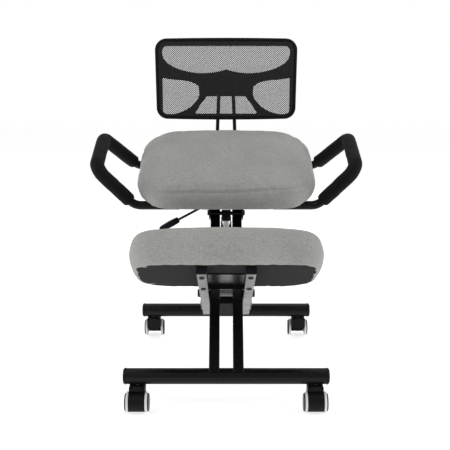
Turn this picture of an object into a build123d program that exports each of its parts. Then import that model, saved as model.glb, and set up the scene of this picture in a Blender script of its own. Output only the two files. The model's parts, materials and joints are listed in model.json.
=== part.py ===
from build123d import *
import math
import os

os.makedirs("parts", exist_ok=True)

# ---------------------------------------------------------------- driving dimensions (mm)
# Positions are written from the front crossbar and shifted once, by Y_SHIFT and Z_SHIFT.
Y_SHIFT = -196.5
Z_SHIFT = -3.0
WHEELBASE = 500.0
BAR_D = 38.0
BAR_WALL = 2.0
BAR_LEN = 472.0
BAR_AXIS_Z = 86.0
CASTOR_X = 210.0

TUBE_W = 25.0
TUBE_H = 40.0
TUBE_GAP = 32.0
TUBE_LEN = 510.0
TUBE_ANGLE = 42.3
TUBE_WALL = 2.0

PIVOT_Y = 168.0
PIVOT_D = 12.0

KNEE_FRONT_Y = -150.0
KNEE_FRONT_Z = 401.7
KNEE_ANGLE = 26.54
KNEE_W = 425.0
KNEE_D = 290.0
KNEE_T = 77.0

SEAT_FRONT_Y = 175.0
SEAT_FRONT_Z = 449.0
SEAT_ANGLE = 19.0
SEAT_W = 448.0
SEAT_D = 330.0
SEAT_T = 64.0

BOARD_T = 12.0
BOARD_INSET = 9.0
COVER_T = 1.0

MEMBER_IN = 43.0
MEMBER_W = 21.0
MEMBER_H = 18.0

HANDLE_D = 22.0
GRIP_D = 35.0

GAS_TOP = (318.0, 412.0)
GAS_LOW = (285.0, 221.0)
GAS_D = 28.0
GAS_ROD_D = 10.0

ROD_D = 10.0

WHEEL_D = 50.0
WHEEL_W = 9.4
TYRE_W = 5.6
TYRE_IN = 19.0
TRAIL = 18.0
HOOD_W = 38.0


# ---------------------------------------------------------------- frames and helpers
def at(x, y, z):
    """Point given from the front crossbar, moved into the shared frame."""
    return (x, y + Y_SHIFT, z + Z_SHIFT)


def side(y, z):
    """Point of a side profile, given from the front crossbar."""
    return (y + Y_SHIFT, z + Z_SHIFT)


def tube_z(y):
    """Height of the twin-tube centre line at a distance behind the front crossbar."""
    return BAR_AXIS_Z + y * math.tan(math.radians(TUBE_ANGLE))


def tilted(y, z, angle):
    """Plane whose local y runs backwards up a slope and whose local z is its normal."""
    a = math.radians(angle)
    return Plane(origin=at(0, y, z), x_dir=(1, 0, 0), z_dir=(0, -math.sin(a), math.cos(a)))


SEAT = tilted(SEAT_FRONT_Y, SEAT_FRONT_Z, SEAT_ANGLE)
KNEE = tilted(KNEE_FRONT_Y, KNEE_FRONT_Z, -KNEE_ANGLE)


def knee_side(u, w):
    """Side-profile point from knee-pad coordinates: u down the slope, w along the normal."""
    a = math.radians(KNEE_ANGLE)
    y = KNEE_FRONT_Y + u * math.cos(a) + w * math.sin(a)
    z = KNEE_FRONT_Z - u * math.sin(a) + w * math.cos(a)
    return side(y, z)


def seat_side(u, w):
    """Side-profile point from seat coordinates: u up the slope, w along the normal."""
    a = math.radians(SEAT_ANGLE)
    y = SEAT_FRONT_Y + u * math.cos(a) - w * math.sin(a)
    z = SEAT_FRONT_Z + u * math.sin(a) + w * math.cos(a)
    return side(y, z)


def bent_path(points, radii):
    """Straight runs joined by tangent arcs, one radius per corner, added to the open BuildLine."""
    start = Vector(*points[0])
    for here, after, radius in zip(points[1:-1], points[2:], radii):
        corner = Vector(*here)
        into = (start - corner).normalized()
        out = (Vector(*after) - corner).normalized()
        half = math.acos(max(-1.0, min(1.0, into.dot(out)))) / 2
        reach = radius / math.tan(half)
        first = corner + into * reach
        last = corner + out * reach
        bisector = (into + out).normalized()
        middle = corner + bisector * (radius / math.sin(half) - radius)
        Line(start, first)
        ThreePointArc(first, middle, last)
        start = last
    Line(start, Vector(*points[-1]))


def save(part, name):
    part.label = name
    export_step(part, f"parts/{name}.step")


# ---------------------------------------------------------------- crossbars
def build_crossbar(name, y):
    with BuildPart() as crossbar:
        with BuildSketch(Plane(origin=at(-BAR_LEN / 2, y, BAR_AXIS_Z), z_dir=(1, 0, 0))):
            Circle(BAR_D / 2)
            Circle(BAR_D / 2 - BAR_WALL, mode=Mode.SUBTRACT)
        extrude(amount=BAR_LEN)
        for x in (-CASTOR_X, CASTOR_X):
            with BuildSketch(Plane(origin=at(x, y, BAR_AXIS_Z - BAR_D / 2 - 1))):
                Circle(5.6)
            extrude(amount=BAR_D / 2, mode=Mode.SUBTRACT)
    save(crossbar.part, name)


def build_bar_caps(name, y):
    with BuildPart() as bar_caps:
        for end in (-1, 1):
            flange = Plane(origin=at(end * BAR_LEN / 2, y, BAR_AXIS_Z), z_dir=(end, 0, 0))
            with BuildSketch(flange):
                Circle(BAR_D / 2 + 0.8)
            extrude(amount=7)
            fillet(bar_caps.faces().sort_by(Axis.X)[0 if end < 0 else -1].edges(), 6)
            with BuildSketch(flange):
                Circle(BAR_D / 2 - BAR_WALL)
            extrude(amount=-12)
    save(bar_caps.part, name)


for bar_name, bar_y in (("front", 0.0), ("rear", WHEELBASE)):
    build_crossbar(f"{bar_name}_crossbar", bar_y)
    build_bar_caps(f"{bar_name}_bar_caps", bar_y)

# ---------------------------------------------------------------- front frame: twin tubes
SLOPE = math.radians(TUBE_ANGLE)
TUBE_PLANE = Plane(
    origin=at(0, 0, BAR_AXIS_Z), x_dir=(1, 0, 0), z_dir=(0, math.cos(SLOPE), math.sin(SLOPE))
)
PIVOT_Z = tube_z(PIVOT_Y)
BRACKET_BOLT = (352.0, tube_z(352.0))
TUBE_X = TUBE_GAP / 2 + TUBE_W / 2


def build_front_tube(name, side_sign):
    with BuildPart() as front_tube:
        with BuildSketch(TUBE_PLANE):
            with Locations((side_sign * TUBE_X, 0)):
                RectangleRounded(TUBE_W, TUBE_H, 3)
                RectangleRounded(TUBE_W - 2 * TUBE_WALL, TUBE_H - 2 * TUBE_WALL, 1, mode=Mode.SUBTRACT)
        extrude(amount=TUBE_LEN)
        with BuildSketch(Plane(origin=at(-60, 0, BAR_AXIS_Z), z_dir=(1, 0, 0))):
            Circle(BAR_D / 2)
        extrude(amount=120, mode=Mode.SUBTRACT)
        for y, z, r in ((PIVOT_Y, PIVOT_Z, PIVOT_D / 2), (*BRACKET_BOLT, 4.0)):
            with BuildSketch(Plane(origin=at(-60, y, z), z_dir=(1, 0, 0))):
                Circle(r)
            extrude(amount=120, mode=Mode.SUBTRACT)
    save(front_tube.part, name)


build_front_tube("front_tube_left", -1)
build_front_tube("front_tube_right", 1)

with BuildPart() as tube_plugs:
    with BuildSketch(TUBE_PLANE.offset(TUBE_LEN)):
        with Locations((-TUBE_X, 0), (TUBE_X, 0)):
            RectangleRounded(TUBE_W, TUBE_H, 3)
    extrude(amount=2.5)
    with BuildSketch(TUBE_PLANE.offset(TUBE_LEN)):
        with Locations((-TUBE_X, 0), (TUBE_X, 0)):
            RectangleRounded(TUBE_W - 2 * TUBE_WALL, TUBE_H - 2 * TUBE_WALL, 1)
    extrude(amount=-10)
save(tube_plugs.part, "tube_plugs")

# ---------------------------------------------------------------- main pivot
MEMBER_OUT = MEMBER_IN + MEMBER_W

with BuildPart() as pivot_bolt:
    with BuildSketch(Plane(origin=at(0, PIVOT_Y, PIVOT_Z), z_dir=(1, 0, 0))):
        Circle(PIVOT_D / 2)
    extrude(amount=MEMBER_OUT + 0.4)
    with BuildSketch(Plane(origin=at(MEMBER_OUT + 0.4, PIVOT_Y, PIVOT_Z), z_dir=(1, 0, 0))):
        Circle(10.5)
    extrude(amount=7.5)
    fillet(pivot_bolt.faces().sort_by(Axis.X)[-1].edges(), 3.5)
    mirror(about=Plane.YZ)
save(pivot_bolt.part, "pivot_bolt")

with BuildPart() as spacer_sleeve:
    with BuildSketch(Plane(origin=at(-TUBE_GAP / 2, PIVOT_Y, PIVOT_Z), z_dir=(1, 0, 0))):
        Circle(8)
        Circle(PIVOT_D / 2, mode=Mode.SUBTRACT)
    extrude(amount=TUBE_GAP)
save(spacer_sleeve.part, "spacer_sleeve")

with BuildPart() as pivot_washers:
    for x in (-TUBE_GAP / 2 - TUBE_W - 1.5, TUBE_GAP / 2 + TUBE_W):
        with BuildSketch(Plane(origin=at(x, PIVOT_Y, PIVOT_Z), z_dir=(1, 0, 0))):
            Circle(12)
            Circle(PIVOT_D / 2, mode=Mode.SUBTRACT)
        extrude(amount=1.5)
save(pivot_washers.part, "pivot_washers")

# ---------------------------------------------------------------- rear frame: side members
REAR_BOLTS = ((392.0, 131.0), (330.0, 162.0))
SCREW_U = (66.0, 206.0)


MEMBER_WALL = 3.0


def member_profile(inset):
    """Side outline of a channel member, drawn in a plane whose local x is the chair's y."""
    low = -COVER_T - MEMBER_H + inset
    with BuildSketch() as profile:
        with BuildLine():
            Polyline(
                knee_side(30 + inset, low),
                knee_side(628 - inset, low),
                knee_side(628 - inset, low + 24 - inset),
                knee_side(612 - inset, low + 32 - 2 * inset),
                knee_side(400, low + 38 - 2 * inset),
                knee_side(326 + inset, low + 38 - 2 * inset),
                knee_side(304 + inset, -COVER_T - inset),
                knee_side(30 + inset, -COVER_T - inset),
                knee_side(30 + inset, low),
            )
        make_face()
        fillet(profile.vertices().sort_by(Axis.X)[-2:], 4)
    return profile.sketch


def build_side_member(name, side_sign):
    x0 = MEMBER_IN if side_sign > 0 else -MEMBER_OUT
    pocket_x0 = MEMBER_IN if side_sign > 0 else -MEMBER_OUT + MEMBER_WALL
    low = -COVER_T - MEMBER_H
    with BuildPart() as side_member:
        with BuildSketch(Plane(origin=(x0, 0, 0), x_dir=(0, 1, 0), z_dir=(1, 0, 0))):
            add(member_profile(0.0))
        extrude(amount=MEMBER_W)
        with BuildSketch(Plane(origin=(pocket_x0, 0, 0), x_dir=(0, 1, 0), z_dir=(1, 0, 0))):
            add(member_profile(MEMBER_WALL))
        extrude(amount=MEMBER_W - MEMBER_WALL, mode=Mode.SUBTRACT)
        for y, z, r in ((PIVOT_Y, PIVOT_Z, 10.0), (*REAR_BOLTS[0], 8.0), (*REAR_BOLTS[1], 8.0)):
            with BuildSketch(Plane(origin=at(pocket_x0, y, z), z_dir=(1, 0, 0))):
                Circle(r)
            extrude(amount=MEMBER_W - MEMBER_WALL)
        for y, z, r in ((PIVOT_Y, PIVOT_Z, PIVOT_D / 2 + 0.05), (*REAR_BOLTS[0], 4), (*REAR_BOLTS[1], 4)):
            with BuildSketch(Plane(origin=at(-70, y, z), z_dir=(1, 0, 0))):
                Circle(r)
            extrude(amount=140, mode=Mode.SUBTRACT)
        with BuildSketch(KNEE.offset(low)):
            with Locations(*[(side_sign * (MEMBER_IN + MEMBER_W / 2), u) for u in SCREW_U]):
                Circle(3)
        extrude(amount=10, mode=Mode.SUBTRACT)
    save(side_member.part, name)


build_side_member("side_member_left", -1)
build_side_member("side_member_right", 1)

with BuildPart() as member_end_blocks:
    with BuildSketch(KNEE.offset(-COVER_T - MEMBER_H)):
        for x in (-MEMBER_IN - MEMBER_W / 2, MEMBER_IN + MEMBER_W / 2):
            with Locations((x, 27)):
                Rectangle(MEMBER_W + 2, 6)
    extrude(amount=MEMBER_H)
save(member_end_blocks.part, "member_end_blocks")

with BuildPart() as member_screws:
    for x in (-MEMBER_IN - MEMBER_W / 2, MEMBER_IN + MEMBER_W / 2):
        with BuildSketch(KNEE.offset(-COVER_T - MEMBER_H)):
            with Locations(*[(x, u) for u in SCREW_U]):
                Circle(3)
        extrude(amount=10)
        with BuildSketch(KNEE.offset(-COVER_T - MEMBER_H)):
            with Locations(*[(x, u) for u in SCREW_U]):
                Circle(6.5)
                RegularPolygon(2.4, 6, mode=Mode.SUBTRACT)
        extrude(amount=-3.2, taper=18)
save(member_screws.part, "member_screws")

with BuildPart() as knee_cross_bar:
    with BuildSketch(KNEE.offset(-COVER_T)):
        with Locations((0, 178)):
            Rectangle(2 * MEMBER_IN, 138)
    extrude(amount=-3)
    with BuildSketch(KNEE.offset(-COVER_T - 3)):
        with Locations((0, 244.5)):
            Rectangle(2 * MEMBER_IN, 5)
    extrude(amount=-10)
save(knee_cross_bar.part, "knee_cross_bar")

# ---------------------------------------------------------------- rear frame: centre strut
STRUT_W = 60.0
STRUT_H = 30.0
STRUT_ANGLE = math.radians(26.5)
STRUT_LEN = 214.0
STRUT_PLANE = Plane(
    origin=at(0, WHEELBASE, BAR_AXIS_Z),
    x_dir=(1, 0, 0),
    z_dir=(0, -math.cos(STRUT_ANGLE), math.sin(STRUT_ANGLE)),
)

with BuildPart() as centre_strut:
    with BuildSketch(STRUT_PLANE):
        RectangleRounded(STRUT_W, STRUT_H, 3)
        RectangleRounded(STRUT_W - 6, STRUT_H - 6, 1, mode=Mode.SUBTRACT)
    extrude(amount=STRUT_LEN)
    with BuildSketch(STRUT_PLANE.offset(STRUT_LEN)):
        RectangleRounded(STRUT_W, STRUT_H, 3)
    extrude(amount=3)
    with BuildSketch(Plane(origin=(12.5, 0, 0), x_dir=(0, 1, 0), z_dir=(1, 0, 0))):
        with BuildLine():
            Polyline(
                side(GAS_LOW[0] - 8, GAS_LOW[1] + 9),
                side(GAS_LOW[0] + 9, GAS_LOW[1] + 9),
                side(336, 182),
                side(308, 172),
                side(306, 186),
                side(GAS_LOW[0] - 12, GAS_LOW[1] - 4),
                side(GAS_LOW[0] - 8, GAS_LOW[1] + 9),
            )
        make_face()
    extrude(amount=6)
    mirror(about=Plane.YZ)
    for y, z in REAR_BOLTS:
        with BuildSketch(Plane(origin=at(-MEMBER_IN, y, z), z_dir=(1, 0, 0))):
            Circle(7.5)
        extrude(amount=2 * MEMBER_IN)
    for y, z, r in ((WHEELBASE, BAR_AXIS_Z, BAR_D / 2), (*REAR_BOLTS[0], 4), (*REAR_BOLTS[1], 4)):
        with BuildSketch(Plane(origin=at(-50, y, z), z_dir=(1, 0, 0))):
            Circle(r)
        extrude(amount=100, mode=Mode.SUBTRACT)
    with BuildSketch(Plane(origin=at(-30, *GAS_LOW), z_dir=(1, 0, 0))):
        Circle(4)
    extrude(amount=60, mode=Mode.SUBTRACT)
save(centre_strut.part, "centre_strut")

with BuildPart() as rear_bolts:
    for y, z in REAR_BOLTS:
        with BuildSketch(Plane(origin=at(-MEMBER_OUT, y, z), z_dir=(1, 0, 0))):
            Circle(4)
        extrude(amount=2 * MEMBER_OUT)
        for x, way in ((-MEMBER_OUT, -1), (MEMBER_OUT, 1)):
            with BuildSketch(Plane(origin=at(x, y, z), z_dir=(way, 0, 0))):
                RegularPolygon(7.5, 6)
            extrude(amount=5.5)
save(rear_bolts.part, "rear_bolts")

# ---------------------------------------------------------------- gas spring
GAS_RUN = Vector(0, GAS_LOW[0] - GAS_TOP[0], GAS_LOW[1] - GAS_TOP[1])
GAS_LEN = GAS_RUN.length
GAS_PLANE = Plane(origin=at(0, *GAS_TOP), x_dir=(1, 0, 0), z_dir=GAS_RUN.normalized())

with BuildPart() as gas_head:
    with BuildSketch(GAS_PLANE.offset(-9)):
        RectangleRounded(24, 20, 3)
    extrude(amount=18)
    with BuildSketch(GAS_PLANE.offset(9)):
        Circle(13)
    extrude(amount=11)
    fillet(gas_head.faces().sort_by(Axis.Z)[0].edges(), 2.5)
    with BuildSketch(Plane(origin=at(-20, *GAS_TOP), z_dir=(1, 0, 0))):
        Circle(5.05)
    extrude(amount=40, mode=Mode.SUBTRACT)
save(gas_head.part, "gas_head")

with BuildPart() as gas_cylinder:
    with BuildSketch(GAS_PLANE.offset(20)):
        Circle(GAS_D / 2)
    extrude(amount=142)
    chamfer(gas_cylinder.faces().sort_by(Axis.Z)[0].edges(), 1.5)
    with BuildSketch(GAS_PLANE.offset(162)):
        Circle(GAS_ROD_D / 2 + 0.05)
    extrude(amount=-120, mode=Mode.SUBTRACT)
save(gas_cylinder.part, "gas_cylinder")

with BuildPart() as gas_rod:
    with BuildSketch(GAS_PLANE.offset(90)):
        Circle(GAS_ROD_D / 2)
    extrude(amount=GAS_LEN - 90 - 9)
save(gas_rod.part, "gas_rod")

with BuildPart() as gas_rod_end:
    with BuildSketch(GAS_PLANE.offset(GAS_LEN - 18)):
        Circle(8.5)
    extrude(amount=18)
    with BuildSketch(Plane(origin=at(-11.5, *GAS_LOW), z_dir=(1, 0, 0))):
        Circle(9)
    extrude(amount=23)
    with BuildSketch(GAS_PLANE.offset(GAS_LEN - 20)):
        Circle(GAS_ROD_D / 2)
    extrude(amount=11, mode=Mode.SUBTRACT)
    with BuildSketch(Plane(origin=at(-20, *GAS_LOW), z_dir=(1, 0, 0))):
        Circle(5.6)
    extrude(amount=40, mode=Mode.SUBTRACT)
save(gas_rod_end.part, "gas_rod_end")

with BuildPart() as gas_lower_pin:
    with BuildSketch(Plane(origin=at(-20, *GAS_LOW), z_dir=(1, 0, 0))):
        Circle(4)
    extrude(amount=40)
save(gas_lower_pin.part, "gas_lower_pin")

# ---------------------------------------------------------------- seat bracket
FLANGE_T = 4.0
FLANGE_IN = TUBE_GAP / 2 + TUBE_W
LEVER_PIVOT = (-56.0, 305.0, 435.0)
LEVER_MOUNT_PLANE = Plane(
    origin=at(-FLANGE_IN - FLANGE_T, LEVER_PIVOT[1], LEVER_PIVOT[2]), x_dir=(0, 1, 0), z_dir=(-1, 0, 0)
)

with BuildPart() as seat_bracket:
    with BuildSketch(SEAT.offset(-COVER_T - 4)):
        with Locations((0, 166)):
            RectangleRounded(150, 190, 10)
    extrude(amount=4)
    with BuildSketch(Plane(origin=(FLANGE_IN, 0, 0), x_dir=(0, 1, 0), z_dir=(1, 0, 0))):
        with BuildLine():
            Polyline(
                seat_side(80, -COVER_T - 4),
                seat_side(255, -COVER_T - 4),
                side(398, 430),
                side(366, 394),
                side(344, 388),
                side(306, 402),
                seat_side(80, -COVER_T - 4),
            )
        make_face()
    extrude(amount=FLANGE_T)
    mirror(about=Plane.YZ)
    with BuildSketch(TUBE_PLANE.offset(478)):
        with Locations((0, -TUBE_H / 2 - 12)):
            Rectangle(2 * FLANGE_IN, 24)
    extrude(amount=5)
    with BuildSketch(LEVER_MOUNT_PLANE):
        with Locations((-11, 0), (11, 0)):
            Rectangle(5, 16)
    extrude(amount=19)
    with BuildSketch(Plane(origin=at(LEVER_PIVOT[0], 292, LEVER_PIVOT[2]), z_dir=(0, 1, 0))):
        Circle(3)
    extrude(amount=26)
    with BuildSketch(Plane(origin=at(-60, *BRACKET_BOLT), z_dir=(1, 0, 0))):
        Circle(4)
    extrude(amount=120, mode=Mode.SUBTRACT)
    with BuildSketch(Plane(origin=at(-60, *GAS_TOP), z_dir=(1, 0, 0))):
        Circle(5)
    extrude(amount=120, mode=Mode.SUBTRACT)
save(seat_bracket.part, "seat_bracket")

with BuildPart() as gas_upper_pin:
    with BuildSketch(Plane(origin=at(-FLANGE_IN - FLANGE_T - 2, *GAS_TOP), z_dir=(1, 0, 0))):
        Circle(5)
    extrude(amount=2 * (FLANGE_IN + FLANGE_T + 2))
save(gas_upper_pin.part, "gas_upper_pin")

with BuildPart() as bracket_bolt:
    with BuildSketch(Plane(origin=at(-FLANGE_IN - FLANGE_T, *BRACKET_BOLT), z_dir=(1, 0, 0))):
        Circle(4)
    extrude(amount=2 * (FLANGE_IN + FLANGE_T))
    for x, way in ((-FLANGE_IN - FLANGE_T, -1), (FLANGE_IN + FLANGE_T, 1)):
        with BuildSketch(Plane(origin=at(x, *BRACKET_BOLT), z_dir=(way, 0, 0))):
            RegularPolygon(7.5, 6)
        extrude(amount=5)
save(bracket_bolt.part, "bracket_bolt")

with BuildPart() as seat_screws:
    with BuildSketch(SEAT.offset(-COVER_T - 4)):
        with Locations((-62, 85), (62, 85), (-62, 247), (62, 247)):
            RegularPolygon(7, 6)
    extrude(amount=-4.5)
save(seat_screws.part, "seat_screws")

# ---------------------------------------------------------------- lever
LEVER_ANGLE = math.radians(208.5)
LEVER_RUN = (math.cos(LEVER_ANGLE), 0, math.sin(LEVER_ANGLE))
LEVER_PLANE = Plane(origin=at(*LEVER_PIVOT), x_dir=(0, 1, 0), z_dir=LEVER_RUN)

with BuildPart() as lever_rod:
    with BuildSketch(Plane(origin=at(LEVER_PIVOT[0], 297, LEVER_PIVOT[2]), z_dir=(0, 1, 0))):
        Circle(7)
    extrude(amount=16)
    with BuildSketch(LEVER_PLANE):
        Circle(3.2)
    extrude(amount=92)
    with BuildSketch(Plane(origin=at(LEVER_PIVOT[0], 285, LEVER_PIVOT[2]), z_dir=(0, 1, 0))):
        Circle(3.05)
    extrude(amount=40, mode=Mode.SUBTRACT)
save(lever_rod.part, "lever_rod")

with BuildPart() as lever_grip:
    with BuildSketch(LEVER_PLANE.offset(78)):
        RectangleRounded(18, 14, 5)
    with BuildSketch(LEVER_PLANE.offset(102)):
        RectangleRounded(25, 16, 6)
    with BuildSketch(LEVER_PLANE.offset(134)):
        RectangleRounded(20, 11, 5)
    loft()
    fillet(lever_grip.faces().sort_by(Axis.X)[0].edges(), 3)
    with BuildSketch(LEVER_PLANE):
        Circle(3.2)
    extrude(amount=92, mode=Mode.SUBTRACT)
save(lever_grip.part, "lever_grip")


# ---------------------------------------------------------------- boards, covers and cushions
def pad_outline(width, depth, front_r, rear_r, inset=0.0):
    """Rounded pad outline with gently bowed edges, drawn from the front edge backwards."""
    half = width / 2 - inset
    y0 = inset
    y1 = depth - inset
    bow = 7.0
    with BuildSketch() as outline:
        with BuildLine():
            ThreePointArc((-half + 4, y0 + bow), (0, y0), (half - 4, y0 + bow))
            ThreePointArc((half - 4, y0 + bow), (half, (y0 + y1) / 2), (half - 6, y1 - bow))
            ThreePointArc((half - 6, y1 - bow), (0, y1), (-half + 6, y1 - bow))
            ThreePointArc((-half + 6, y1 - bow), (-half, (y0 + y1) / 2), (-half + 4, y0 + bow))
        make_face()
        fillet(outline.vertices().sort_by(Axis.Y)[:2], front_r)
        fillet(outline.vertices().sort_by(Axis.Y)[-2:], rear_r)
    return outline.sketch


def build_pad(kind, plane, width, depth, thick, front_r, rear_r):
    with BuildPart() as board:
        with BuildSketch(plane):
            add(pad_outline(width, depth, front_r, rear_r, BOARD_INSET))
        extrude(amount=BOARD_T)
    save(board.part, f"{kind}_board")

    with BuildPart() as dust_cover:
        with BuildSketch(plane):
            add(pad_outline(width, depth, front_r, rear_r, 2 * BOARD_INSET))
        extrude(amount=-COVER_T)
    save(dust_cover.part, f"{kind}_dust_cover")

    with BuildPart() as cushion:
        with BuildSketch(plane):
            add(pad_outline(width, depth, front_r, rear_r))
        extrude(amount=thick)
        fillet(cushion.edges().filter_by(lambda e: plane.to_local_coords(e.center()).Z > thick - 1), 24)
        with BuildSketch(plane):
            add(pad_outline(width, depth, front_r, rear_r, BOARD_INSET))
        extrude(amount=BOARD_T, mode=Mode.SUBTRACT)
    save(cushion.part, f"{kind}_cushion")


build_pad("seat", SEAT, SEAT_W, SEAT_D, SEAT_T, 118, 100)
build_pad("knee", KNEE, KNEE_W, KNEE_D, KNEE_T, 85, 90)

# ---------------------------------------------------------------- handles
def seat_depth(y, w):
    """How far up the seat's slope a point held w off its underside lies, at a given y."""
    a = math.radians(SEAT_ANGLE)
    return (y - SEAT_FRONT_Y + w * math.sin(a)) / math.cos(a)


def under_seat_z(y, w):
    """Height of a point held w off the tilted seat underside, at a given y."""
    a = math.radians(SEAT_ANGLE)
    return SEAT_FRONT_Z + seat_depth(y, w) * math.sin(a) + w * math.cos(a)


HANDLE_W = -COVER_T - HANDLE_D / 2 - 0.05
FRONT_FOOT_Y = 222.0
REAR_FOOT_Y = 424.0
FRONT_FOOT_Z = under_seat_z(FRONT_FOOT_Y, HANDLE_W)
REAR_FOOT_Z = under_seat_z(REAR_FOOT_Y, HANDLE_W)
HANDLE_PATH = (
    (118.0, FRONT_FOOT_Y, FRONT_FOOT_Z),
    (230.0, FRONT_FOOT_Y, FRONT_FOOT_Z),
    (317.0, 166.0, 554.0),
    (317.0, 330.0, 608.0),
    (238.0, REAR_FOOT_Y, REAR_FOOT_Z),
    (118.0, REAR_FOOT_Y, REAR_FOOT_Z),
)
HANDLE_BENDS = (34.0, 27.0, 27.0, 34.0)


def handle_line(side_sign):
    with BuildLine() as line:
        bent_path([at(side_sign * x, y, z) for x, y, z in HANDLE_PATH], HANDLE_BENDS)
    return line


def build_handle(name, side_sign):
    line = handle_line(side_sign)
    with BuildPart() as handle:
        with BuildLine():
            add(line.line)
        with BuildSketch(Plane(origin=line.line @ 0, z_dir=line.line % 0)):
            Circle(HANDLE_D / 2)
            Circle(HANDLE_D / 2 - 2, mode=Mode.SUBTRACT)
        sweep()
    save(handle.part, f"handle_tube_{name}")

    edges = line.line.edges()
    first, last = edges[2], edges[6]
    with BuildPart() as grip:
        with BuildLine() as covered:
            Line(first @ 0.02, first @ 1)
            for edge in edges[3:6]:
                add(edge)
            Line(last @ 0, last @ 0.99)
        with BuildSketch(Plane(origin=covered.line @ 0, z_dir=covered.line % 0)):
            Circle(GRIP_D / 2)
            Circle(HANDLE_D / 2, mode=Mode.SUBTRACT)
        sweep()
    save(grip.part, f"handle_grip_{name}")


build_handle("left", -1)
build_handle("right", 1)

with BuildPart() as handle_clamps:
    with BuildSketch(SEAT.offset(-COVER_T)):
        for foot_y in (FRONT_FOOT_Y, REAR_FOOT_Y):
            foot_u = seat_depth(foot_y, HANDLE_W)
            with Locations((-150, foot_u), (150, foot_u)):
                RectangleRounded(22, 28, 3)
    extrude(amount=-14)
    for _, y, z in (HANDLE_PATH[0], HANDLE_PATH[-1]):
        with BuildSketch(Plane(origin=at(-170, y, z), z_dir=(1, 0, 0))):
            Circle(HANDLE_D / 2)
        extrude(amount=340, mode=Mode.SUBTRACT)
save(handle_clamps.part, "handle_clamps")

# ---------------------------------------------------------------- backrest rods
ROD_W = -COVER_T - ROD_D / 2 - 1.5

with BuildPart() as back_rods:
    with BuildLine() as rod_line:
        rod_front = seat_side(272, ROD_W)
        rod_rear = seat_side(353, ROD_W)
        bent_path(
            [
                (27.0, *rod_front),
                (26.0, *rod_rear),
                at(23.0, 515.0, 640.0),
                at(18.5, 515.0, 738.0),
                at(-18.5, 515.0, 738.0),
                at(-23.0, 515.0, 640.0),
                (-26.0, *rod_rear),
                (-27.0, *rod_front),
            ],
            (17.0,) * 6,
        )
    with BuildSketch(Plane(origin=rod_line.line @ 0, z_dir=rod_line.line % 0)):
        Circle(ROD_D / 2)
    sweep()
save(back_rods.part, "back_rods")

with BuildPart() as back_rod_clamp:
    with BuildSketch(SEAT.offset(-COVER_T)):
        with Locations((0, 298)):
            RectangleRounded(90, 36, 4)
    extrude(amount=-14)
    with BuildLine() as clamp_line:
        Line((27.0, *seat_side(272, ROD_W)), (26.0, *seat_side(353, ROD_W)))
    with BuildSketch(Plane(origin=clamp_line.line @ 0, z_dir=clamp_line.line % 0)):
        Circle(ROD_D / 2)
    sweep(path=clamp_line.line, mode=Mode.SUBTRACT)
    with BuildLine() as clamp_line_left:
        Line((-27.0, *seat_side(272, ROD_W)), (-26.0, *seat_side(353, ROD_W)))
    with BuildSketch(Plane(origin=clamp_line_left.line @ 0, z_dir=clamp_line_left.line % 0)):
        Circle(ROD_D / 2)
    sweep(path=clamp_line_left.line, mode=Mode.SUBTRACT)
save(back_rod_clamp.part, "back_rod_clamp")

# ---------------------------------------------------------------- backrest
BACK_Y = 496.0
BACK_R = 900.0
FRAME_T = 13.0
BACK_FACE = Plane(origin=(0, 0, Z_SHIFT), x_dir=(1, 0, 0), z_dir=(0, -1, 0))


def curved_slab(front, back):
    """Section of a bent slab between two offsets behind the backrest's front face."""
    with BuildSketch(Plane(origin=(0, 0, 600))) as arc_face:
        with Locations((0, BACK_Y - BACK_R + Y_SHIFT)):
            Circle(BACK_R + back)
            Circle(BACK_R + front, mode=Mode.SUBTRACT)
        with Locations((0, BACK_Y + Y_SHIFT)):
            Rectangle(440, 160, mode=Mode.INTERSECT)
    return arc_face.sketch


def back_outline(inset):
    with BuildSketch(Plane.XZ) as outline:
        with BuildLine():
            ThreePointArc((-193 + inset, 860 - inset), (0, 862 - inset), (193 - inset, 860 - inset))
            Line((193 - inset, 860 - inset), (190 - inset, 645 + inset))
            ThreePointArc((190 - inset, 645 + inset), (0, 640 + inset), (-190 + inset, 645 + inset))
            Line((-190 + inset, 645 + inset), (-193 + inset, 860 - inset))
        make_face()
        fillet(outline.vertices(), 31 - inset)
    return outline.sketch


def back_windows():
    with BuildSketch(Plane.XZ) as windows:
        with BuildLine():
            Line((-160, 840), (160, 840))
            Spline((160, 840), (171, 835), (174, 824), (169, 805), (150, 788), (107, 772), (67, 767), (0, 777))
            Spline((0, 777), (-67, 767), (-107, 772), (-150, 788), (-169, 805), (-174, 824), (-171, 835), (-160, 840))
        make_face()
        for sx in (-1, 1):
            with BuildLine():
                Line((sx * 174, 757), (sx * 174, 668))
                Spline((sx * 174, 668), (sx * 170, 659), (sx * 160, 656), (sx * 134, 658), (sx * 106, 670), (sx * 83, 690), (sx * 74, 709))
                Line((sx * 74, 709), (sx * 75, 731))
                Spline((sx * 75, 731), (sx * 86, 739), (sx * 130, 749), (sx * 174, 757))
            make_face()
        with BuildLine():
            Polyline((-54, 704), (54, 704), (88, 656), (-88, 656), (-54, 704))
        make_face()
        fillet(windows.vertices().filter_by(lambda v: v.Y < 765), 4)
    return windows.sketch


with BuildPart() as backrest_frame:
    add(curved_slab(0, FRAME_T))
    extrude(amount=300)
    with BuildSketch(BACK_FACE.offset(-BACK_Y - Y_SHIFT - 60)):
        add(back_outline(0))
        add(back_windows(), mode=Mode.SUBTRACT)
    extrude(amount=120, mode=Mode.INTERSECT)
    with BuildPart(mode=Mode.SUBTRACT):
        add(curved_slab(-1, 1.6))
        extrude(amount=300)
        with BuildSketch(BACK_FACE.offset(-BACK_Y - Y_SHIFT - 60)):
            add(back_outline(6))
            add(back_outline(8.2), mode=Mode.SUBTRACT)
        extrude(amount=120, mode=Mode.INTERSECT)
save(backrest_frame.part, "backrest_frame")

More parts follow.
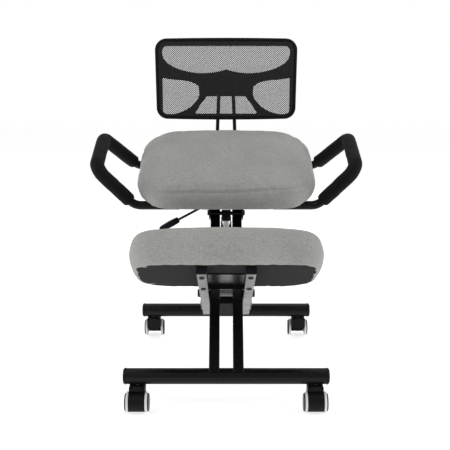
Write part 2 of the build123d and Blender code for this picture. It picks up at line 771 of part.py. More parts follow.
with BuildPart() as backrest_mesh:
    add(curved_slab(-1.2, 0))
    extrude(amount=300)
    with BuildSketch(BACK_FACE.offset(-BACK_Y - Y_SHIFT - 60)):
        add(back_outline(8.2))
    extrude(amount=120, mode=Mode.INTERSECT)
save(backrest_mesh.part, "backrest_mesh")

with BuildPart() as rod_saddle:
    with BuildSketch(BACK_FACE.offset(-(BACK_Y + FRAME_T + Y_SHIFT + 0.6))):
        with Locations((0, 722)):
            RectangleRounded(72, 26, 4)
    extrude(amount=-13)
    with BuildSketch(Plane(origin=at(0, 515, 700), x_dir=(1, 0, 0), z_dir=(0, 0, 1))):
        with Locations((0, 0)):
            Rectangle(50, 10.2)
    extrude(amount=40, mode=Mode.SUBTRACT)
save(rod_saddle.part, "rod_saddle")


# ---------------------------------------------------------------- castors
CASTOR_SIDE = Plane(origin=(-HOOD_W / 2, 0, 0), x_dir=(0, 1, 0), z_dir=(1, 0, 0))


def build_castor(name, x, y, spin):
    place = Pos(*at(x, y, -Z_SHIFT)) * Rot(0, 0, spin)

    with BuildPart() as stem:
        with BuildSketch(Plane(origin=(0, 0, 52))):
            Circle(5.55)
        extrude(amount=30)
        chamfer(stem.faces().sort_by(Axis.Z)[-1].edges(), 1)
    save(place * stem.part, f"castor_{name}_stem")

    with BuildPart() as hood:
        with BuildSketch(CASTOR_SIDE):
            with Locations((-TRAIL, WHEEL_D / 2)):
                Circle(24)
            with Locations((0, 46)):
                Rectangle(34, 26)
            with Locations((-TRAIL, -4)):
                Rectangle(70, 24, mode=Mode.SUBTRACT)
        extrude(amount=HOOD_W)
        with BuildSketch(CASTOR_SIDE):
            with Locations((-TRAIL, WHEEL_D / 2)):
                Circle(21)
            with Locations((-TRAIL, 42)):
                Rectangle(50, 40, mode=Mode.SUBTRACT)
        extrude(amount=HOOD_W, mode=Mode.SUBTRACT)
        with BuildSketch(Plane(origin=(0, -TRAIL, 0), x_dir=(-1, 0, 0), z_dir=(0, 1, 0))):
            with Locations((0, 19.5)):
                Rectangle(60, 39)
            with Locations((0, 39)):
                Circle(HOOD_W / 2, mode=Mode.SUBTRACT)
        extrude(amount=50, mode=Mode.SUBTRACT)
        with BuildSketch(Plane(origin=(-12, -TRAIL, WHEEL_D / 2), z_dir=(1, 0, 0))):
            Circle(9)
        extrude(amount=24)
        with BuildSketch(Plane(origin=(0, 0, 50))):
            Circle(18.5)
        extrude(amount=13)
        chamfer(hood.faces().sort_by(Axis.Z)[-1].edges(), 1.5)
        with BuildSketch(Plane(origin=(0, 0, 52))):
            Circle(5.55)
        extrude(amount=20, mode=Mode.SUBTRACT)
        with BuildSketch(Plane(origin=(-30, -TRAIL, WHEEL_D / 2), z_dir=(1, 0, 0))):
            Circle(4.05)
        extrude(amount=60, mode=Mode.SUBTRACT)
    save(place * hood.part, f"castor_{name}_hood")

    outer = HOOD_W / 2 + 0.4
    wheel_plane = Plane(origin=(outer, -TRAIL, WHEEL_D / 2), z_dir=(1, 0, 0))
    with BuildPart() as wheels:
        with BuildSketch(wheel_plane):
            Circle(TYRE_IN)
        extrude(amount=TYRE_W + 0.2)
        with BuildSketch(wheel_plane.offset(TYRE_W + 0.2)):
            Circle(21.5)
        extrude(amount=WHEEL_W - TYRE_W - 0.2)
        fillet(wheels.faces().sort_by(Axis.X)[-1].edges(), 2.4)
        with BuildSketch(wheel_plane):
            Circle(4)
        extrude(amount=-outer)
        mirror(about=Plane.YZ)
    save(place * wheels.part, f"castor_{name}_wheels")

    with BuildPart() as tyres:
        with BuildSketch(wheel_plane):
            Circle(WHEEL_D / 2)
            Circle(TYRE_IN, mode=Mode.SUBTRACT)
        extrude(amount=TYRE_W)
        fillet(tyres.edges().filter_by(GeomType.CIRCLE).sort_by(SortBy.RADIUS)[-2:], 1.8)
        mirror(about=Plane.YZ)
    save(place * tyres.part, f"castor_{name}_tyres")


for castor_name, castor_x, castor_y, castor_spin in (
    ("front_left", -CASTOR_X, 0.0, 0.0),
    ("front_right", CASTOR_X, 0.0, 0.0),
    ("rear_left", -CASTOR_X, WHEELBASE, 180.0),
    ("rear_right", CASTOR_X, WHEELBASE, 180.0),
):
    build_castor(castor_name, castor_x, castor_y, castor_spin)
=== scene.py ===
import json
import math

import bmesh
import bpy
from mathutils import Matrix, Vector, noise


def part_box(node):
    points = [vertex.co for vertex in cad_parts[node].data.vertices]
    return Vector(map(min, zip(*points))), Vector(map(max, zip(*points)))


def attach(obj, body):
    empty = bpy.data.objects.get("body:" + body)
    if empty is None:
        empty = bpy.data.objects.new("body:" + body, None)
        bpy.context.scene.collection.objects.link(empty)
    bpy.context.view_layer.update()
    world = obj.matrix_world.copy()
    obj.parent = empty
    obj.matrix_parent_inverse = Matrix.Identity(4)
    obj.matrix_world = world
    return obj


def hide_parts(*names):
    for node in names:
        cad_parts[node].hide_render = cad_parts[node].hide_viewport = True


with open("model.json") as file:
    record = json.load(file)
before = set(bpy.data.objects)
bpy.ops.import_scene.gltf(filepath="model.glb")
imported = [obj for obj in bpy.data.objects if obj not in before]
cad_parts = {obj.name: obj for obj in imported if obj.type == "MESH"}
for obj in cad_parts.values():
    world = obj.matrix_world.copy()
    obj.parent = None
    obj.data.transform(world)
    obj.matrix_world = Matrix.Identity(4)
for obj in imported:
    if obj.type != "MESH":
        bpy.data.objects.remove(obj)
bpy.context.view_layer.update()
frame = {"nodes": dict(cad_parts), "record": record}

nodes = frame["nodes"]

# Metres and degrees throughout. Y_SHIFT moves a length measured from the front crossbar to the frame's origin.
Y_SHIFT = -0.1965

# Each pad lies in a tilted plane: its origin is the middle of the front edge of the underside, local x
# runs across, y along the depth and z away from the board. corners are the front and rear radii, dome is
# the extra height of the middle over the sides, crown that of the top face, and seam the seam's height.
PADS = {
    "seat": dict(
        body="front_frame", origin=(0, 0.175 + Y_SHIFT, 0.446), tilt=19.0,
        size=(0.448, 0.330, 0.060), corners=(0.084, 0.094),
        shoulder=0.021, dome=0.012, crown=0.012, seam=0.049, puckers=0.0016,
    ),
    "knee": dict(
        body="rear_frame", origin=(0, -0.150 + Y_SHIFT, 0.3987), tilt=-26.54,
        size=(0.425, 0.290, 0.077), corners=(0.060, 0.080),
        shoulder=0.024, dome=0.006, crown=0.006, seam=None, puckers=0.0030,
    ),
}
PAD_DARK = (0.170, 0.172, 0.163)
PAD_LIGHT = (0.468, 0.474, 0.450)
SIDE_BOW = 0.005  # how far a pad's straight sides bow outwards
SIDE_START = 0.015  # height at which the rolled lower edge meets the side
BELLY = 0.003  # how far the side swells between its lower and upper edges
# The rolled lower edge, from the board outwards: inset, height and how far the seat's front lip hangs.
ROLLED_EDGE = (
    (0.0092, -0.0006, 0.0022),
    (0.0076, 0.0004, 0.0040),
    (0.0052, 0.0025, 0.0052),
    (0.0030, 0.0058, 0.0052),
    (0.0014, 0.0100, 0.0040),
)

# Dust cover edge, outwards: inset, height and share of the tucks between the staples.
COVER_EDGE = ((0.0155, -0.0011, 0.3), (0.0128, -0.0011, 0.8), (0.0112, -0.0010, 1.0))

# Backrest net: part of a cylinder, in a groove with rounded corners.
BACK_Y = 0.496
BACK_RADIUS = 0.900
NET_SETBACK = 0.0018
NET_HALF_LOW, NET_HALF_HIGH = 0.1818, 0.1846
NET_CORNER = 0.0215
NET_PITCH_X, NET_PITCH_Z = 0.0050, 0.0056

# name, place, aim, size, power
LIGHTS = (
    ("key", (-1.5, -1.7, 2.4), (0, 0, 0.45), (1.3, 0.5), 17),
    ("fill", (1.9, -1.3, 1.6), (0, 0, 0.45), (1.3, 0.5), 11),
    ("top", (0, 0.3, 2.8), (0, 0, 0.4), (2.2, 2.2), 14),
    ("rim", (0.3, 2.2, 1.6), (0, 0, 0.6), (1.8, 1.2), 8),
    ("left", (-2.2, 0.1, 0.9), (0, 0, 0.5), (1.2, 1.6), 13),
    ("right", (2.2, 0.1, 0.9), (0, 0, 0.5), (1.2, 1.6), 12),
)
WORLD_LIGHT = 0.42  # background strength that lights the object
WORLD_SEEN = 0.58  # added where the camera sees the background


# ---------------------------------------------------------------- objects
def link_object(name, data):
    obj = bpy.data.objects.new(name, data)
    bpy.context.collection.objects.link(obj)
    return obj


def mesh_object(name, bm):
    """Turns a finished bmesh into a linked object."""
    mesh = bpy.data.meshes.new(name)
    bm.to_mesh(mesh)
    bm.free()
    return link_object(name, mesh)


def dress(obj, material):
    """Gives a piece its one material and smooth shading."""
    obj.data.materials.clear()
    obj.data.materials.append(material)
    for polygon in obj.data.polygons:
        polygon.use_smooth = True


def apply_all(obj):
    bpy.context.view_layer.update()
    deps = bpy.context.evaluated_depsgraph_get()
    mesh = bpy.data.meshes.new_from_object(obj.evaluated_get(deps))
    obj.modifiers.clear()
    obj.data = mesh


def voxel(obj, size):
    mod = obj.modifiers.new("voxel", "REMESH")
    mod.mode = "VOXEL"
    mod.voxel_size = size
    apply_all(obj)


def soften(obj, iterations):
    mod = obj.modifiers.new("smooth", "SMOOTH")
    mod.factor, mod.iterations = 0.5, iterations
    apply_all(obj)


# ---------------------------------------------------------------- camera, lights, floor
def add_camera():
    cam = bpy.data.cameras.new("camera")
    cam.sensor_width = 36.0
    cam.lens = 70.0
    obj = link_object("camera", cam)
    obj.location = (-0.003, -1.937 + Y_SHIFT, 0.880)
    obj.rotation_euler = (math.radians(90 - 12.57), 0, 0)
    bpy.context.scene.camera = obj


def add_light(name, place, aim, size, power):
    light = bpy.data.lights.new(name, "AREA")
    light.shape = "RECTANGLE"
    light.size, light.size_y = size
    light.energy = power
    obj = link_object(name, light)
    obj.location = place
    obj.rotation_euler = (Vector(aim) - Vector(place)).to_track_quat("-Z", "Y").to_euler()


def add_world():
    world = bpy.data.worlds.new("studio")
    bpy.context.scene.world = world
    world.use_nodes = True
    tree = world.node_tree
    back = tree.nodes["Background"]
    ray = tree.nodes.new("ShaderNodeLightPath")
    seen = math_node(tree, "MULTIPLY", ray.outputs["Is Camera Ray"], WORLD_SEEN)
    tree.links.new(math_node(tree, "ADD", seen, WORLD_LIGHT), back.inputs["Strength"])
    back.inputs["Color"].default_value = (1, 1, 1, 1)


def add_floor():
    mesh = bpy.data.meshes.new("floor")
    s = 6.0
    mesh.from_pydata([(-s, -s, 0), (s, -s, 0), (s, s, 0), (-s, s, 0)], [], [(0, 1, 2, 3)])
    floor = link_object("floor", mesh)
    mat, _, shader = new_material("floor_white")
    shader.inputs["Base Color"].default_value = (0.60, 0.60, 0.60, 1)
    shader.inputs["Emission Color"].default_value = (1, 1, 1, 1)
    shader.inputs["Emission Strength"].default_value = 0.72
    set_surface(shader, 0.9, 0.1)
    mesh.materials.append(mat)


# ---------------------------------------------------------------- materials
def new_material(name):
    mat = bpy.data.materials.new(name)
    mat.use_nodes = True
    return mat, mat.node_tree, mat.node_tree.nodes["Principled BSDF"]


def set_surface(shader, rough, specular, sheen=0.0):
    shader.inputs["Roughness"].default_value = rough
    shader.inputs["Specular IOR Level"].default_value = specular
    shader.inputs["Sheen Weight"].default_value = sheen


def grey(v, warm=0.0):
    return (v * (1 + warm), v, v * (1 - warm))


def math_node(tree, op, a, b=0):
    node = tree.nodes.new("ShaderNodeMath")
    node.operation = op
    for i, v in enumerate((a, b)):
        if isinstance(v, (int, float)):
            node.inputs[i].default_value = v
        else:
            tree.links.new(v, node.inputs[i])
    return node.outputs[0]


def weighted_sum(tree, *terms):
    """Sum of value times weight over the (value, weight) terms."""
    total = None
    for value, weight in terms:
        term = math_node(tree, "MULTIPLY", value, weight)
        total = term if total is None else math_node(tree, "ADD", total, term)
    return total


def tex_noise(tree, scale, detail=3.0, stretch=(1, 1, 1), tilt=0.0):
    """Noise in object space, stretched along the axes and tilted about X."""
    coord = tree.nodes.new("ShaderNodeTexCoord")
    mapping = tree.nodes.new("ShaderNodeMapping")
    mapping.inputs["Scale"].default_value = stretch
    mapping.inputs["Rotation"].default_value = (math.radians(tilt), 0, 0)
    tex = tree.nodes.new("ShaderNodeTexNoise")
    tex.inputs["Scale"].default_value = scale
    tex.inputs["Detail"].default_value = detail
    tree.links.new(coord.outputs["Object"], mapping.inputs["Vector"])
    tree.links.new(mapping.outputs["Vector"], tex.inputs["Vector"])
    return tex.outputs["Fac"]


def ramp(tree, value, dark, light, low=0.3, high=0.7):
    """Colour that goes from dark to light as value goes from low to high."""
    node = tree.nodes.new("ShaderNodeValToRGB")
    tree.links.new(value, node.inputs["Fac"])
    for element, place, colour in zip(node.color_ramp.elements, (low, high), (dark, light)):
        element.position = place
        element.color = (*colour, 1)
    return node.outputs["Color"]


def tone(tree, shader, value, dark, light, low=0.3, high=0.7):
    tree.links.new(ramp(tree, value, dark, light, low, high), shader.inputs["Base Color"])


def uneven_gloss(tree, shader, scale, rough, spread):
    gloss = ramp(tree, tex_noise(tree, scale, 5.0), grey(rough - spread), grey(rough + spread))
    tree.links.new(gloss, shader.inputs["Roughness"])


def bump(tree, shader, height, strength, distance):
    node = tree.nodes.new("ShaderNodeBump")
    node.inputs["Strength"].default_value = strength
    node.inputs["Distance"].default_value = distance
    tree.links.new(height, node.inputs["Height"])
    tree.links.new(node.outputs["Normal"], shader.inputs["Normal"])


def hard_finish(name, dark, light, rough, metal=0.0, grain=900.0, bump_mm=0.02, specular=0.5, spread=0.06):
    """Painted, plated or moulded surface: fine texture, slow tone drift, uneven gloss."""
    mat, tree, shader = new_material(name)
    tone(tree, shader, tex_noise(tree, 14.0, 4.0), dark, light)
    uneven_gloss(tree, shader, 55.0, rough, spread)
    shader.inputs["Metallic"].default_value = metal
    shader.inputs["Specular IOR Level"].default_value = specular
    bump(tree, shader, tex_noise(tree, grain, 2.0), 0.5, bump_mm / 1000)
    return mat


def brushed_finish(name, dark, light, rough):
    """Plated steel with faint lengthwise draw marks."""
    mat, tree, shader = new_material(name)
    tone(tree, shader, tex_noise(tree, 60.0, 4.0, (6, 1, 12)), dark, light)
    uneven_gloss(tree, shader, 35.0, rough, 0.08)
    shader.inputs["Metallic"].default_value = 0.85
    bump(tree, shader, tex_noise(tree, 500.0, 2.0, (4, 1, 6)), 0.35, 0.00003)
    return mat


def woven_finish(name, dark, light, tilt):
    """Fine plain weave laid along X and down the pad's slope, with a few slubs and slow shade changes."""
    mat, tree, shader = new_material(name)
    across = tex_noise(tree, 1.0, 2.0, (420, 1900, 1900), tilt)
    along = tex_noise(tree, 1.0, 2.0, (1900, 420, 420), tilt)
    slub = tex_noise(tree, 1.0, 2.0, (110, 900, 900), tilt)
    coarse = tex_noise(tree, 1.0, 2.0, (560, 560, 560), tilt)
    weave = math_node(tree, "MULTIPLY", math_node(tree, "ADD", across, along), 0.5)
    cloud = math_node(tree, "SUBTRACT", tex_noise(tree, 11.0, 3.0), 0.5)
    mixed = weighted_sum(tree, (weave, 0.66), (slub, 0.14), (coarse, 0.20), (cloud, 0.10))
    tone(tree, shader, mixed, dark, light, 0.36, 0.64)
    set_surface(shader, 0.92, 0.2, 0.10)
    bump(tree, shader, mixed, 0.8, 0.0005)
    return mat


def nonwoven_finish(name, dark, light):
    """Black felt-like sheet with a fine speckle."""
    mat, tree, shader = new_material(name)
    speckle = tex_noise(tree, 420.0, 4.0)
    tone(tree, shader, speckle, dark, light)
    set_surface(shader, 0.85, 0.12, 0.02)
    bump(tree, shader, speckle, 0.5, 0.0003)
    return mat


def foam_finish(name, dark, light):
    """Matt closed-cell foam: fine cells and slow wear."""
    mat, tree, shader = new_material(name)
    cells = tex_noise(tree, 1500.0, 3.0)
    wear = tex_noise(tree, 26.0, 4.0)
    tone(tree, shader, weighted_sum(tree, (cells, 0.5), (wear, 0.5)), dark, light, 0.35, 0.65)
    set_surface(shader, 0.75, 0.13, 0.02)
    bump(tree, shader, cells, 0.6, 0.0004)
    return mat


def net_finish(name, dark, light):
    """Open knitted net: staggered oval holes cut by alpha, threads raised round them."""
    mat, tree, shader = new_material(name)
    coord = tree.nodes.new("ShaderNodeTexCoord")
    split = tree.nodes.new("ShaderNodeSeparateXYZ")
    tree.links.new(coord.outputs["Object"], split.inputs[0])
    waves = []
    for axis, pitch in (("X", NET_PITCH_X), ("Z", NET_PITCH_Z)):
        phase = math_node(tree, "MULTIPLY", split.outputs[axis], 2 * math.pi / pitch)
        waves.append(math_node(tree, "COSINE", phase))
    cells = math_node(tree, "MULTIPLY", *waves)
    tree.links.new(math_node(tree, "LESS_THAN", cells, 0.21), shader.inputs["Alpha"])
    tone(tree, shader, tex_noise(tree, 700.0, 2.0), dark, light)
    set_surface(shader, 0.7, 0.25)
    bump(tree, shader, cells, 0.4, -0.0004)
    return mat


def wood_finish(name):
    mat, tree, shader = new_material(name)
    grain = tex_noise(tree, 30.0, 6.0, (1, 6, 14))
    tone(tree, shader, grain, (0.36, 0.24, 0.13), (0.56, 0.42, 0.27))
    set_surface(shader, 0.7, 0.5)
    bump(tree, shader, grain, 0.3, 0.0003)
    return mat


def make_materials():
    """One material per slot of the record, and strut_black for the rougher centre strut."""
    return {
        "frame_black": hard_finish(
            "powder_black", (0.0042, 0.0042, 0.0050), (0.0060, 0.0060, 0.0070), 0.30,
            grain=1400, bump_mm=0.04, specular=0.17,
        ),
        "black_plastic": hard_finish(
            "moulded_black", (0.0034, 0.0034, 0.0042), (0.0060, 0.0060, 0.0072), 0.42,
            grain=2200, bump_mm=0.05, specular=0.13,
        ),
        "strut_black": hard_finish(
            "cast_black", grey(0.0045), grey(0.0075), 0.75, grain=1100, bump_mm=0.08, specular=0.06
        ),
        "zinc_steel": brushed_finish("zinc_plate", grey(0.17, 0.01), grey(0.25, 0.01), 0.42),
        "chrome_steel": hard_finish(
            "chrome", grey(0.78), grey(0.86), 0.30, metal=1.0, grain=300, bump_mm=0.004, spread=0.03
        ),
        "bolt_black": hard_finish("black_oxide", grey(0.012), grey(0.022), 0.40, metal=0.5, specular=0.3),
        "seat_fabric": woven_finish("pad_weave", PAD_DARK, PAD_LIGHT, 0.0),
        "grip_foam": foam_finish("grip_foam", (0.0026, 0.0026, 0.0030), (0.0056, 0.0056, 0.0064)),
        "castor_tyre": hard_finish("tyre_grey", grey(0.66), grey(0.76), 0.5, grain=800),
        "castor_hub": hard_finish("hub_grey", grey(0.016), grey(0.028), 0.42, grain=1600, specular=0.35),
        "board_wood": wood_finish("plywood"),
        "cover_fabric": nonwoven_finish("dust_cover", grey(0.004), grey(0.009)),
        "mesh_net": net_finish("net", grey(0.012), grey(0.022)),
    }


def paint_cad(materials):
    slots = {s["node"]: s["material_slot"] for s in frame["record"]["subparts"]}
    for name, obj in nodes.items():
        mat = materials["strut_black" if name == "centre_strut" else slots[name]]
        if not obj.material_slots:
            obj.data.materials.append(mat)
        for material_slot in obj.material_slots:
            material_slot.link = "OBJECT"
            material_slot.material = mat


# ---------------------------------------------------------------- pads
def pad_matrix(kind):
    tilt = math.radians(PADS[kind]["tilt"])
    return Matrix.Translation(PADS[kind]["origin"]) @ Matrix.Rotation(tilt, 4, "X")


def outline(kind, count, inset=0.0):
    """Points round a pad's edge in pad coordinates: round corners joined by gently bowed sides."""
    width, depth, _ = PADS[kind]["size"]
    front_r, rear_r = PADS[kind]["corners"]
    corners = []
    for sx, sy, r, start in ((1, -1, front_r, -90), (1, 1, rear_r, 0), (-1, 1, rear_r, 90), (-1, -1, front_r, 180)):
        centre = Vector((sx * (width / 2 - SIDE_BOW - r), depth / 2 + sy * (depth / 2 - SIDE_BOW - r)))
        for i in range(13):
            a = math.radians(start + 90 * i / 12)
            corners.append(centre + Vector((math.cos(a), math.sin(a))) * max(0.004, r - inset))
    lengths = [0.0]
    loop = corners + [corners[0]]
    for a, b in zip(loop, loop[1:]):
        lengths.append(lengths[-1] + (b - a).length)
    points, k = [], 0
    for i in range(count):
        want = lengths[-1] * i / count
        while lengths[k + 1] < want:
            k += 1
        t = (want - lengths[k]) / max(1e-9, lengths[k + 1] - lengths[k])
        p = loop[k].lerp(loop[k + 1], t)
        s, v = p.x / (width / 2), (p.y - depth / 2) / (depth / 2)
        points.append(Vector((p.x + SIDE_BOW * s * (1 - v * v), p.y + SIDE_BOW * v * (1 - s * s))))
    return points


def pad_form(name, kind):
    """Closed pad: underside wrapped over the board, rolled lower edge, full sides, round shoulder, crowned top."""
    pad = PADS[kind]
    width, depth, thick = pad["size"]
    shoulder = pad["shoulder"]
    middle = Vector((0, depth / 2))
    count = 160
    lip_end, lip_fade = 0.033, 0.012
    # Each ring is an outline, how far it is drawn in to the middle, its height and its hang.
    under = outline(kind, count, 0.0125)
    rings = [(under, f, -0.0007, 0.0) for f in (0.30, 0.60, 0.85, 1.0)]
    rings += [(outline(kind, count, inset), 1.0, w, hang) for inset, w, hang in ROLLED_EDGE]
    for i in range(7):
        t = i / 6
        side = outline(kind, count, -BELLY * math.sin(math.pi * t))
        w = SIDE_START + (thick - shoulder - SIDE_START) * t
        rings.append((side, 1.0, w, 0.0022 * max(0.0, 1 - 3 * t)))
    for i in range(1, 8):
        a = math.radians(90 * i / 8)
        bend = outline(kind, count, shoulder * (1 - math.cos(a)))
        rings.append((bend, 1.0, thick - shoulder * (1 - math.sin(a)), 0.0))
    top = outline(kind, count, shoulder)
    for f in (0.97, 0.88, 0.76, 0.60, 0.44, 0.28, 0.12):
        rings.append((top, f, thick + pad["crown"] * (1 - f ** 2.4), 0.0))
    bm = bmesh.new()
    loops = []
    for edge, f, w, hang in rings:
        ring = []
        for p in edge:
            q = middle + (p - middle) * f
            rise = max(0.0, w / thick) * pad["dome"] * (1 - (2 * q.x / width) ** 2)
            lip = hang * max(0.0, min(1.0, (lip_end - q.y) / lip_fade)) if kind == "seat" else 0.0
            ring.append(bm.verts.new((q.x, q.y, w + rise - lip)))
        loops.append(ring)
    for lower, upper in zip(loops, loops[1:]):
        for i in range(count):
            j = (i + 1) % count
            bm.faces.new((lower[i], lower[j], upper[j], upper[i]))
    bm.faces.new(list(reversed(loops[0])))
    bm.faces.new(loops[-1])
    bmesh.ops.triangulate(bm, faces=[f for f in bm.faces if len(f.verts) > 4])
    bmesh.ops.recalc_face_normals(bm, faces=bm.faces)
    return mesh_object(name, bm)


def inflate(obj, frames, cap, pressure, pinned):
    """Cloth under pressure with the underside held. A part of each move is kept, up to cap."""
    kept_share = 0.6
    rest = [v.co.copy() for v in obj.data.vertices]
    group = obj.vertex_groups.new(name="pin")
    for v in obj.data.vertices:
        if pinned(v.co):
            group.add([v.index], 1.0, "REPLACE")
    cloth = obj.modifiers.new("cloth", "CLOTH")
    settings = cloth.settings
    settings.quality = 5
    settings.mass = 0.3
    settings.use_pressure = True
    settings.uniform_pressure_force = pressure
    settings.tension_stiffness = 18
    settings.compression_stiffness = 18
    settings.shear_stiffness = 8
    settings.bending_stiffness = 2.0
    settings.vertex_group_mass = "pin"
    settings.effector_weights.gravity = 0.0
    cloth.collision_settings.use_self_collision = False
    cloth.point_cache.frame_start = 1
    cloth.point_cache.frame_end = frames
    scene = bpy.context.scene
    for f in range(1, frames + 1):
        scene.frame_set(f)
    apply_all(obj)
    scene.frame_set(1)
    for v, start in zip(obj.data.vertices, rest):
        move = (v.co - start) * kept_share
        v.co = start + move * min(1.0, cap / max(move.length, 1e-9))
    obj.vertex_groups.clear()


def shape_cloth(obj, kind):
    """Sews the seam round the upper edge, gathers the lower edge and adds slow unevenness."""
    pad = PADS[kind]
    width, depth, _ = pad["size"]
    seam_slope, seam_wander = 0.030, 0.0024
    seam_depth, seam_half = 0.0024, 0.0028
    welt_height, welt_above, welt_half = 0.0009, 0.0060, 0.0040
    rim = 0.6  # seam and gathers keep to the pad outside this share of its half size
    gather_top = 0.020
    mesh = obj.data
    normals = [v.normal.copy() for v in mesh.vertices]
    for v, n in zip(mesh.vertices, normals):
        p = v.co.copy()
        flat = Vector((p.x / (width / 2), (p.y - depth / 2) / (depth / 2)))
        out = min(1.0, flat.length)
        angle = math.atan2(flat.y, flat.x)
        move = 0.0
        if pad["seam"] is not None and out > rim and n.z < 0.93:
            wander = seam_wander * noise.noise(Vector((math.cos(angle), math.sin(angle), 0.3)) * 2.1)
            level = p.z - pad["seam"] - seam_slope * p.x - wander
            move -= seam_depth * math.exp(-(level / seam_half) ** 2)
            move += welt_height * math.exp(-((level - welt_above) / welt_half) ** 2)
        if out > rim and p.z < gather_top:
            fold = noise.noise(Vector((math.cos(angle) * 9, math.sin(angle) * 9, p.z * 40)))
            move += pad["puckers"] * fold * (1 - p.z / gather_top)
        move += 0.0011 * noise.noise(Vector((p.x * 9, p.y * 9, p.z * 12)))
        if p.z < 0.002 and n.z < -0.5:  # the underside stays on its board
            move *= 0.2
        v.co = p + n * move
    mesh.update()


def make_cushion(kind, material):
    obj = pad_form(f"{kind}_cushion_cloth", kind)
    voxel(obj, 0.0043)
    inflate(obj, 16, 0.006, 4.0, lambda c: c.z < 0.0035)
    shape_cloth(obj, kind)
    sub = obj.modifiers.new("sub", "SUBSURF")
    sub.levels = sub.render_levels = 1
    apply_all(obj)
    obj.data.transform(pad_matrix(kind))
    dress(obj, material)
    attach(obj, PADS[kind]["body"])
    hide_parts(f"{kind}_cushion")


def make_dust_cover(kind, material):
    """Thin cover tacked under the board, its edge wandering between the staples."""
    width, depth, _ = PADS[kind]["size"]
    count = 220
    middle = Vector((0, depth / 2))
    field = outline(kind, count, 0.0190)
    rings = [(field, f, -0.0011, 0.0) for f in (0.02, 0.2, 0.4, 0.6, 0.78, 0.9, 1.0)]
    rings += [(outline(kind, count, inset), 1.0, w, wave) for inset, w, wave in COVER_EDGE]
    bm = bmesh.new()
    loops = []
    for edge, f, drop, wave in rings:
        ring = []
        for i, p in enumerate(edge):
            a = 2 * math.pi * i / count
            tuck = 0.0050 * wave * noise.noise(Vector((math.cos(a) * 8, math.sin(a) * 8, 1.7)))
            tuck += 0.0018 * wave * abs(math.sin(a * 21 + 2 * math.sin(a * 2)))
            q = middle + (p - middle) * f
            q += (middle - q).normalized() * (0.0012 * wave + tuck)
            slack = 0.00025 * noise.noise(Vector((q.x * 22, q.y * 22, 0.4)))
            ripple = 0.0004 * wave * noise.noise(Vector((q.x * 120, q.y * 120, 2.4)))
            ring.append(bm.verts.new((q.x, q.y, drop - slack - ripple)))
        loops.append(ring)
    for inner, outer in zip(loops, loops[1:]):
        for i in range(count):
            j = (i + 1) % count
            bm.faces.new((inner[i], outer[i], outer[j], inner[j]))
    bm.faces.new(loops[0])
    obj = mesh_object(f"{kind}_cover_cloth", bm)
    obj.data.transform(pad_matrix(kind))
    dress(obj, material)
    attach(obj, PADS[kind]["body"])
    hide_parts(f"{kind}_dust_cover")


# ---------------------------------------------------------------- backrest net
def make_net(material):
    """Net stretched over the frame's curve, with a slight sag and rounded corners."""
    low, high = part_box("backrest_mesh")
    centre_y = BACK_Y + Y_SHIFT - BACK_RADIUS
    columns, rows = 60, 34
    bm = bmesh.new()
    grid = []
    for j in range(rows + 1):
        t = j / rows
        line = []
        for i in range(columns + 1):
            s = 2 * i / columns - 1
            half = NET_HALF_LOW + (NET_HALF_HIGH - NET_HALF_LOW) * t
            x = s * half
            top = high[2] - 0.001 - 0.0008 * (s * s)
            bottom = low[2] + 0.001 + 0.0045 * s * s
            z = bottom + (top - bottom) * t
            round_in = max(0.0, abs(x) - (half - NET_CORNER))
            cap = NET_CORNER - math.sqrt(max(0.0, NET_CORNER ** 2 - round_in ** 2))
            z = min(max(z, bottom + cap), top - cap)
            sag = 0.0018 * (1 - s * s) * math.sin(math.pi * t)
            r = BACK_RADIUS - NET_SETBACK + sag * 0.3
            y = centre_y + math.sqrt(r * r - x * x)
            line.append(bm.verts.new((x, y, z)))
        grid.append(line)
    for j in range(rows):
        for i in range(columns):
            bm.faces.new((grid[j][i], grid[j][i + 1], grid[j + 1][i + 1], grid[j + 1][i]))
    obj = mesh_object("backrest_net", bm)
    dress(obj, material)
    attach(obj, "front_frame")
    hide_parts("backrest_mesh")


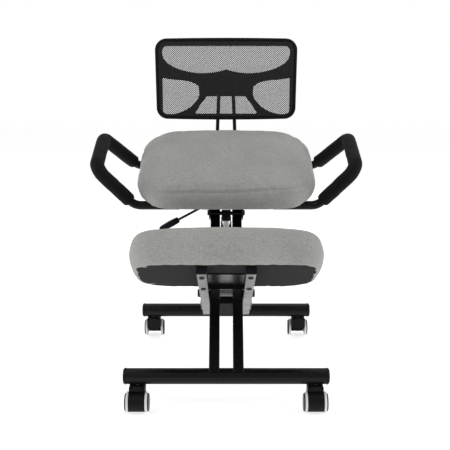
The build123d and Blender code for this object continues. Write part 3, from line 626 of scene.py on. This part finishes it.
# ---------------------------------------------------------------- grips
def copy_node(name, new_name):
    obj = link_object(new_name, nodes[name].data.copy())
    obj.matrix_world = nodes[name].matrix_world.copy()
    obj.data.materials.clear()
    return obj


def make_foam_grip(side, material):
    """Foam sleeve with the soft unevenness of a pushed-on grip."""
    node = f"handle_grip_{side}"
    obj = copy_node(node, f"foam_grip_{side}")
    voxel(obj, 0.0030)
    soften(obj, 5)
    mesh = obj.data
    for v, n in zip(mesh.vertices, [v.normal.copy() for v in mesh.vertices]):
        v.co = v.co + n * (0.0006 * noise.noise(v.co * 38) + 0.0003 * noise.noise(v.co * 120))
    dress(obj, material)
    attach(obj, "front_frame")
    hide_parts(node)


def make_lever_grip(material):
    """Paddle with moulded finger ribs across it."""
    rib_pitch, rib_height = 0.0048, 0.0007
    ribs_from, ribs_to = 0.008, 0.050  # distances from the paddle's inner end
    obj = copy_node("lever_grip", "lever_paddle")
    voxel(obj, 0.0010)
    soften(obj, 4)
    mesh = obj.data
    tilt = math.radians(24)
    run = Vector((-math.cos(tilt), 0, -math.sin(tilt)))
    start = max(v.co.dot(-run) for v in mesh.vertices)
    for v, n in zip(mesh.vertices, [v.normal.copy() for v in mesh.vertices]):
        d = v.co.dot(run) + start
        if ribs_from < d < ribs_to and abs(n.dot(run)) < 0.5:
            v.co = v.co + n * rib_height * math.cos(2 * math.pi * d / rib_pitch)
    dress(obj, material)
    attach(obj, "release_lever")
    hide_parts("lever_grip")


# ---------------------------------------------------------------- build
bpy.context.scene.view_settings.view_transform = "Standard"
add_camera()
add_world()
for light in LIGHTS:
    add_light(*light)
add_floor()
materials = make_materials()
paint_cad(materials)
for kind in PADS:
    make_cushion(kind, woven_finish(f"{kind}_weave", PAD_DARK, PAD_LIGHT, -PADS[kind]["tilt"]))
for kind in PADS:
    make_dust_cover(kind, materials["cover_fabric"])
make_net(materials["mesh_net"])
make_foam_grip("left", materials["grip_foam"])
make_foam_grip("right", materials["grip_foam"])
make_lever_grip(materials["black_plastic"])
